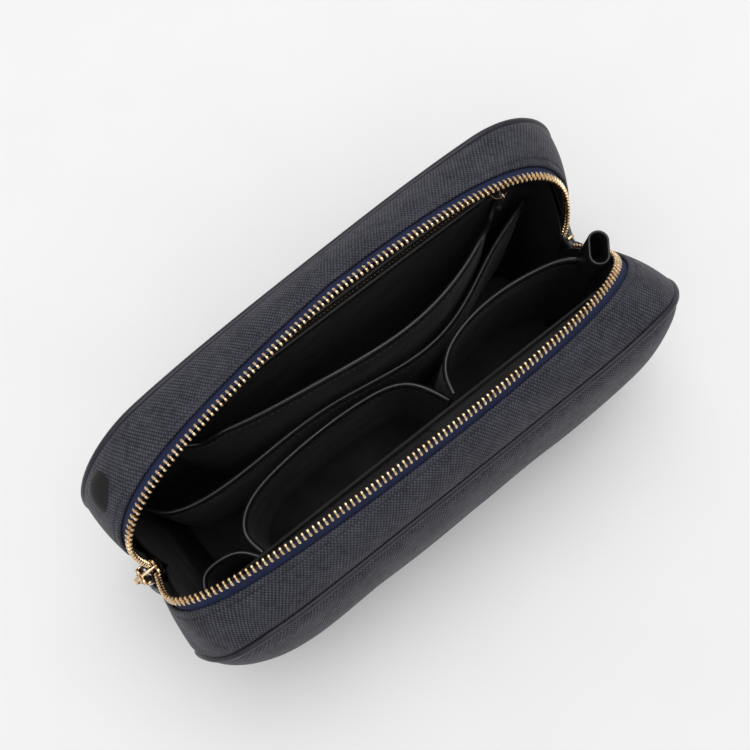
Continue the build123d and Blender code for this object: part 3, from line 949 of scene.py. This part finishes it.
def curve_through(points, count):
    """A smooth open curve through plan points, evenly sampled."""
    points = np.asarray(points, float)
    n = len(points)
    t = np.concatenate([[0], np.cumsum(np.linalg.norm(np.diff(points, axis=0), axis=1) ** 0.75)])
    h = np.diff(t)
    system, right = np.zeros((n, n)), np.zeros((n, 2))
    system[0, 0] = system[-1, -1] = 1
    for k in range(1, n - 1):
        system[k, k - 1], system[k, k], system[k, k + 1] = h[k - 1], 2 * (h[k - 1] + h[k]), h[k]
        right[k] = 6 * ((points[k + 1] - points[k]) / h[k] - (points[k] - points[k - 1]) / h[k - 1])
    second = np.linalg.solve(system, right)
    fine = []
    for u in np.linspace(0, t[-1], 600):
        k = min(int(np.searchsorted(t, u, side="right")) - 1, n - 2)
        a, b = (t[k + 1] - u) / h[k], (u - t[k]) / h[k]
        fine.append(a * points[k] + b * points[k + 1]
                    + ((a**3 - a) * second[k] + (b**3 - b) * second[k + 1]) * h[k] ** 2 / 6)
    fine = np.array(fine)
    along = np.concatenate([[0], np.cumsum(np.linalg.norm(np.diff(fine, axis=0), axis=1))])
    marks = np.linspace(0, along[-1], count)
    return np.stack([np.interp(marks, along, fine[:, k]) for k in range(2)], axis=1), along[-1]


def kept_inside(point):
    """Pull a point of a pocket front back to the lining."""
    x, y, z = point
    y = min(max(y, LINING_Y["front"] + 0.2), float(lining_y("back", z)) + 0.7)
    x = min(max(x, float(lining_x("left", z)) + 0.4), float(lining_x("right", z)) - 0.4)
    return np.array([x, y, z])


def pocket(name, route, low, rim, bow, stitch_side):
    """A slack pocket front with a rolled rim and a stitched line below it. rim gives the height
    of the edge at (x, share along); bow swells the front between its rim and its foot.
    stitch_side is the face with the stitched line, 1 or -1, or 0 for both."""
    count = 90
    plan, length = curve_through(route, count)
    tangent = unit(np.gradient(plan, axis=0))
    side = np.stack([-tangent[:, 1], tangent[:, 0]], axis=1)
    share = np.linspace(0, 1, count)
    tops = np.array([rim(x, s) for (x, _), s in zip(plan, share)])
    up = np.array([0, 0.1, 0.2, 0.32, 0.45, 0.58, 0.7, 0.8, 0.88, 0.94, 0.975, 1.0])
    half = 0.6

    def point(k, f, off):
        z = low + (tops[k] - low) * f
        swell = bow * math.sin(math.pi * f) ** 1.2 * math.sin(math.pi * share[k]) ** 0.7
        swell += 0.8 * noise.noise(Vector((plan[k][0] / 22, z / 30, low))) * math.sin(math.pi * f)
        xy = plan[k] + side[k] * (swell + off)
        return kept_inside((xy[0], xy[1], z))

    sections = []
    for k in range(count):
        front = [point(k, f, half) for f in up]
        back = [point(k, f, -half) for f in up]
        sections.append(front + back[::-1])
    sheet = loft(f"{name}_front", sections, LINING, crisp=60)
    settle(sheet, "pouch", "lining", name)
    centre = np.array([kept_inside((*plan[k], tops[k] + 0.9)) for k in range(count)])
    rim_tube = tube(f"{name}_rolled_rim", centre, 1.35, BLACK_LEATHER, sides=14, squash=(1.0, 1.55))
    settle(rim_tube, "pouch", "binding_leather", f"{name}_binding")
    for row, face in enumerate((1, -1)):
        if stitch_side in (0, face):
            along = range(3, count - 3)
            seam = np.array([point(k, 1 - 5.0 / (tops[k] - low), 0.72 * face) for k in along])
            normals = np.concatenate([side, np.zeros((count, 1))], axis=1)[3 : count - 3] * face
            thread = stitches(f"{name}_stitches_{row + 1}", seam, normals, BLACK_THREAD, pitch=3.0, size=0.85)
            settle(thread, "pouch", "lining")


def level(height):
    """A rim at one height all along."""
    return lambda x, share: height


def notebook_rim(x, share):
    """A rim that drops where the pocket meets the back wall at its ends."""
    return 103 + 11 * (1 - float(ramp(abs(x), 66, 80)))


def inner_zip():
    """Welted zip in the back lining, closed, with its welt, tapes and teeth."""
    back = LINING_Y["back"]
    x0, x1 = INNER_ZIP_X
    middle, length = (x0 + x1) / 2, x1 - x0
    frame_sections = []
    outer_ring = np.array(rounded(length + 7, 15.0, 3.0, (middle, INNER_ZIP_Z), 6))
    inner_ring = np.array(rounded(length, 8.6, 1.0, (middle, INNER_ZIP_Z), 6))
    lips = [(0.0, 0.9), (0.06, 0.35), (0.2, 0.05), (0.5, 0.0), (0.8, 0.05), (0.94, 0.35), (1.0, 0.9)]
    for a, b in zip(outer_ring, inner_ring):
        face = [a + (b - a) * s for s, _ in lips]
        ys = [back - 1.1 + d for _, d in lips]
        section = [(p[0], y, p[1]) for p, y in zip(face, ys)]
        section += [(p[0], back - 0.1, p[1]) for p in face[::-1]]
        frame_sections.append(section)
    welt = loft("inner_zip_welt_leather", frame_sections, BLACK_LEATHER, closed=True)
    settle(welt, "pouch", "binding_leather", "inner_zip_welt")
    parts = []
    for s in (-1, 1):
        tape = rounded(length, 4.4, 0.3, (middle, INNER_ZIP_Z + s * 2.7))
        parts.append(slab("tape", tape, back + 0.15, back + 0.65, upright, TAPE_BLUE, 0.1))
    settle(join("inner_zip_tape", parts), "pouch", "zip_tape", "inner_zip_tapes")
    places = []
    for s in (-1, 1):
        for x in np.arange(x0 + 3 + (0.6 if s > 0 else 0), x1 - 3, 1.9):
            origin = np.array([x, back + 0.35, INNER_ZIP_Z + s * 0.25])
            axes = np.array([(0, 0, -0.75 * s), (0.85, 0, 0), (0, -0.62, 0)])
            places.append((origin, *axes))
    row = scatter("inner_zip_tooth_rows", TOOTH[0], TOOTH[1], places, BRONZE)
    settle(row, "pouch", "zip_metal", "inner_zip_teeth")


# -------------------------------------------------------------- zip hardware


def arch(name, feet, height, wide, thick, place, material):
    """A small strap that rises from one foot, runs along and comes down at the other."""
    a, b = feet
    path = []
    for t in np.linspace(0, 1, 21):
        along = a + (b - a) * t
        rise = height * (1 - abs(2 * t - 1) ** 3.2) ** 0.6
        path.append((along, rise))
    path = np.array(path)
    tangent = unit(np.gradient(path, axis=0))
    normal = np.stack([-tangent[:, 1], tangent[:, 0]], axis=1)
    ring = rounded(wide, thick, min(wide, thick) * 0.35, steps=3)
    sections = [
        [place(p[0] + n[0] * c, p[1] + n[1] * c, w) for w, c in ring] for p, n in zip(path, normal)
    ]
    return loft(name, sections, material, crisp=50)


def main_zip_pull():
    """Slider at the closed V, its wire ring and the leather tab."""
    low, high, (_, y, _) = extent("main_slider")
    top, foot, out_x = high[2], low[2], low[0] + 3.0
    half = [(2.6, foot), (3.6, foot + 1.4), (3.9, foot + 5), (4.2, top - 3), (3.7, top - 0.9),
            (2.4, top), (0.9, top - 0.5)]
    shape = [(a + y, b) for a, b in mirrored(half, (0, top - 1.6))]
    wedge = rounded(1.6, 4.6, 0.7, (y, top - 2.6))

    def over(a, b, c):
        """A point of the bail: a up the slider, b out from its plate, c across."""
        return np.array([out_x + 0.3 - b, y + c, a])

    parts = [
        slab("plate", shape, out_x, out_x + 1.2, endways, GOLD, 0.35),
        slab("plate", shape, out_x + 7.0, out_x + 8.2, endways, GOLD, 0.35),
        slab("wedge", wedge, out_x + 0.8, out_x + 7.4, endways, GOLD, 0.2),
    ]
    for s in (-1, 1):
        lip = rounded(0.9, 7.2, 0.4, (y + s * 3.7, (top + foot) / 2 - 0.6))
        parts.append(slab("lip", lip, out_x + 0.4, out_x + 2.4, endways, GOLD, 0.2))
        parts.append(slab("lip", lip, out_x + 5.8, out_x + 7.6, endways, GOLD, 0.2))
    parts.append(arch("bail", (top - 8.4, top - 0.5), 3.2, 2.1, 0.95, over, GOLD))
    settle(join("gold_slider", parts), "main_slider", "zip_metal", "main_slider")

    low, high, (ring_x, ring_y, ring_z) = extent("main_puller")
    outline = rounded(4.3, high[2] - low[2] - 1.2, 1.6, (ring_y, ring_z), 8)
    path = [(ring_x, a, b) for a, b in outline]
    ring = tube("gold_puller_ring", path, 0.62, GOLD, closed=True, up=(1, 0, 0))
    settle(ring, "main_puller", "zip_metal", "main_puller")
    pull_tab(ring_x, ring_y, low[2] + 0.6)


def pull_tab(x, y, eye_z):
    """The leather tab on the ring: a blade under a looped strap, stitched round its edge."""
    low, high, _ = extent("pull_tab")
    wide = high[1] - low[1]
    base = -TAB_REACH
    turn = math.radians(TAB_HANG)

    def hung(across, along, down):
        """A point of the tab, from its eye, leaning out from the gusset."""
        return (
            x + across * math.cos(turn) + down * math.sin(turn),
            y + along,
            eye_z - across * math.sin(turn) + down * math.cos(turn),
        )

    sections = []
    for z, half_w, half_t in [
        (base, wide * 0.24, 0.35), (base + 0.5, wide * 0.36, 0.75), (base + 1.4, wide * 0.44, 0.95),
        (base + 3.2, wide * 0.49, 1.0), (base + 8, wide * 0.5, 1.0), (base + 16, wide * 0.47, 1.0),
        (base + 24, wide * 0.42, 1.0), (base + 29, wide * 0.34, 1.05), (base + 31.5, 1.9, 1.2),
        (base + 33.2, 1.45, 1.5),
    ]:
        ring = rounded(2 * half_w, 2 * half_t, half_t * 0.8, steps=4)
        sections.append([hung(b, a, z) for a, b in ring])
    blade = loft("blade", sections, BLACK_LEATHER, crisp=60)
    swing = np.linspace(-math.pi * 0.42, math.pi * 1.42, 25)
    loop_path = [hung(1.45 * math.cos(t), 0, -1.6 + 2.2 * math.sin(t)) for t in swing]
    strap = tube("strap", loop_path, 1.2, BLACK_LEATHER, squash=(0.42, 1.0), up=(0, 1, 0))
    settle(join("leather_pull_tab", [blade, strap]), "pull_tab", "binding_leather", "pull_tab")
    edge = [(base + z, wide * share) for z, share in (
        (29, 0.27), (24, 0.34), (16, 0.39), (8, 0.41), (4, 0.40), (2.4, 0.33), (1.7, 0.2))]
    for s, face in ((-1, "outer"), (1, "inner")):
        path = [hung(s, -w, z) for z, w in edge] + [hung(s, 0, base + 1.4)]
        path += [hung(s, w, z) for z, w in edge[::-1]]
        normal = (s * math.cos(turn), 0, -s * math.sin(turn))
        thread = stitches(f"pull_tab_stitches_{face}", path, normal, THREAD, pitch=2.6, size=0.8)
        settle(thread, "pull_tab", "binding_leather")


def inner_zip_pull():
    """Slider and flat puller of the zip in the lining."""
    _, _, (x, _, z) = extent("inner_slider")
    front = LINING_Y["back"] - 2.7
    half = [(-2.2, -4.5), (-3.0, -3.5), (-3.5, 2.7), (-2.4, 4.5), (-0.8, 4.0)]
    shape = [(x + b, z + a) for a, b in mirrored(half, (0, 3.2))]
    wedge = rounded(3.6, 1.1, 0.4, (x + 1.8, z))

    def over(a, b, c):
        """A point of the bail: a along the slider, b out from its plate, c across."""
        return np.array([a, front + 0.2 - b, z + c])

    parts = [
        slab("plate", shape, front, front + 1.1, upright, BRONZE, 0.3),
        slab("plate", shape, front + 4.9, front + 6.0, upright, BRONZE, 0.3),
        slab("wedge", wedge, front + 0.6, front + 5.4, upright, BRONZE, 0.15),
        arch("bail", (x - 3.6, x + 3.6), 3.6, 1.6, 0.85, over, BRONZE),
    ]
    settle(join("bronze_slider", parts), "inner_slider", "inner_metal", "inner_slider")
    low, high, (x, y, _) = extent("inner_puller")
    foot, eye = low[2], high[2] - 2.1
    circle = np.arange(20) * math.pi / 10
    path = [(x, y + 1.6 * math.cos(t), eye + 1.6 * math.sin(t)) for t in circle]
    ring = tube("ring", path, 0.5, SILVERY, closed=True, sides=10, up=(1, 0, 0))
    half = [(1.1, eye - 1.4), (1.5, eye - 3.5), (2.1, foot + 3.4), (2.2, foot + 1.2), (1.4, foot + 0.2)]
    shape = [(y + a, b) for a, b in mirrored(half)]
    plate = slab("plate", shape, x - 0.5, x + 0.5, endways, SILVERY, 0.2)
    settle(join("pale_inner_puller", [ring, plate]), "inner_puller", "inner_metal", "inner_puller")


def zip_end():
    """Leather tab folded over the stopped end of the zip, and the metal stop."""
    _, vy, vz = VEE["right"]
    low, _, (x, _, _) = extent("zip_end_tab")
    path = [(x, z) for z in np.linspace(low[2], vz - 3.0, 6)]
    for a in np.linspace(0, math.pi, 13):
        path.append((x + 2.2 - 2.2 * math.cos(a), vz - 1.5 + 2.6 * math.sin(a)))
    path += [(x + 4.4, z) for z in np.linspace(vz - 3.0, vz - 9, 4)]
    path = np.array(path)
    tangent = unit(np.gradient(path, axis=0))
    normal = np.stack([tangent[:, 1], -tangent[:, 0]], axis=1)
    ring = rounded(13.0, 1.3, 0.5, steps=3)
    rows = [[(p[0] + n[0] * c, vy + w, p[1] + n[1] * c) for w, c in ring] for p, n in zip(path, normal)]
    tab = loft("zip_end_leather_tab", rows, BLACK_LEATHER, crisp=60)
    settle(tab, "pouch", "binding_leather", "zip_end_tab")
    low, high, (_, y, z) = extent("zip_end_stop")
    outline = rounded(1.6, 2.8, 0.6, (y, z - 0.6))
    stop = slab("gold_end_stop", outline, low[0], high[0], endways, GOLD, 0.3)
    settle(stop, "pouch", "zip_metal", "zip_end_stop")


def pen_loop():
    """Upright leather loop at the right end of the mouth."""
    low, high, (_, _, mid_z) = extent("pen_loop")
    wall = 1.5
    wide, deep = PEN_LOOP_SIZE[0] - wall, PEN_LOOP_SIZE[1] - wall
    spot_x, spot_y = PEN_LOOP_SPOT
    cos, sin = math.cos(math.radians(PEN_LOOP_TURN)), math.sin(math.radians(PEN_LOOP_TURN))
    plan = np.array([
        (spot_x + a * cos - b * sin, spot_y + a * sin + b * cos)
        for a, b in rounded(wide, deep, deep / 2 - 0.01, steps=8)
    ])
    ring = rounded(1.1, high[2] - low[2], 0.5, steps=3)
    sections = []
    for (a, b), before, after in zip(plan, np.roll(plan, 1, axis=0), np.roll(plan, -1, axis=0)):
        step = unit(after - before)
        sections.append([(a + step[1] * out, b - step[0] * out, mid_z + h) for out, h in ring])
    piece = loft("leather_pen_loop", sections, BLACK_LEATHER, closed=True, crisp=60)
    settle(piece, "pouch", "binding_leather", "pen_loop")


for mouth_side in SIDES:
    panel(mouth_side)
    piping(mouth_side)
    for mouth_end in ENDS:
        mouth(mouth_side, mouth_end)
        skirts(mouth_side, mouth_end)
gusset()
lining_bag()
pocket(
    "notebook_pocket",
    [(-92, 38), (-81, 29.5), (-56, 21), (-26, 16), (19, 11.5), (55, 18), (77, 28.5), (90, 38)],
    FLOOR, notebook_rim, -1.5, -1,
)
pocket(
    "cable_pocket",
    [(-118, 31), (-110, 18), (-92, 11), (-55, 10.5), (-22, 9.5), (24, 4), (52, 10.5), (76, 21.5),
     (103, 31)],
    14.0, level(90.0), -1.0, -1,
)
pocket(
    "phone_pocket",
    [(108, -16), (99, -5), (84, 0.5), (62, 3), (42, 1), (29, -4), (22, -11), (19, -20)],
    FLOOR, level(95.0), -1.5, 0,
)
pocket(
    "earbud_pocket",
    [(17, -20), (7, -3), (-12, 3), (-40, 4), (-64, 2), (-80, -3), (-87, -11), (-86, -22)],
    FLOOR, level(88.0), 1.0, 0,
)
pocket(
    "coin_pocket",
    [(-88, -23), (-94, -16), (-104, -13.5), (-111, -15), (-115, -22)],
    14.0, level(88.0), 0.5, 0,
)
inner_zip()
main_zip_pull()
inner_zip_pull()
zip_end()
pen_loop()

HIDDEN_FINISH = {"base_board": BOARD, "inner_zip_bag": LINING}
for node in bpy.context.scene.objects:
    if node.get("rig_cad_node") in HIDDEN_FINISH:
        node.data.materials.clear()
        node.data.materials.append(HIDDEN_FINISH[node["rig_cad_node"]])

# ------------------------------------------------------- floor, light, camera

floor_mesh = bpy.data.meshes.new("floor")
floor_mesh.from_pydata([(-6, -6, 0), (6, -6, 0), (6, 6, 0), (-6, 6, 0)], [], [(0, 1, 2, 3)])
paper = Finish("white_paper")
floor_mesh.materials.append(paper.finish(
    Base_Color=paper.shades(paper.clouds(60.0), (0.3, (0.86, 0.86, 0.86)), (0.7, (0.875, 0.875, 0.875))),
    Roughness=0.9, Specular_IOR_Level=0.1))
floor = bpy.data.objects.new("floor", floor_mesh)
bpy.context.collection.objects.link(floor)

world = bpy.data.worlds.new("studio")
world.use_nodes = True
world.node_tree.nodes["Background"].inputs["Color"].default_value = (1.0, 1.0, 1.0, 1)
world.node_tree.nodes["Background"].inputs["Strength"].default_value = 0.56
bpy.context.scene.world = world


def aimed(name, data, azimuth, elevation, distance):
    """Put a lamp or the camera where it looks at the pouch."""
    a, e = math.radians(azimuth), math.radians(elevation)
    back = Vector((math.sin(a) * math.cos(e), -math.cos(a) * math.cos(e), math.sin(e)))
    obj = bpy.data.objects.new(name, data)
    obj.location = AIM + back * distance
    obj.rotation_mode = "QUATERNION"
    obj.rotation_quaternion = (-back).to_track_quat("-Z", "Y")
    bpy.context.collection.objects.link(obj)
    return obj


def lamp(name, azimuth, elevation, distance, size, power):
    """A soft square light aimed at the pouch."""
    data = bpy.data.lights.new(name, "AREA")
    data.shape = "SQUARE"
    data.size = size
    data.energy = power
    aimed(name, data, azimuth, elevation, distance)


lamp("key", 142, 78, 1.5, 1.2, 13.0)
lamp("fill", -60, 50, 1.8, 1.2, 4.0)

camera_data = bpy.data.cameras.new("camera")
camera_data.sensor_width = SENSOR
camera_data.lens = LENS
camera_data.clip_start = 0.01
camera = aimed("camera", camera_data, CAMERA_AZIMUTH, CAMERA_ELEVATION, CAMERA_AWAY * MM)
bpy.context.scene.camera = camera
bpy.context.scene.view_settings.view_transform = "Standard"
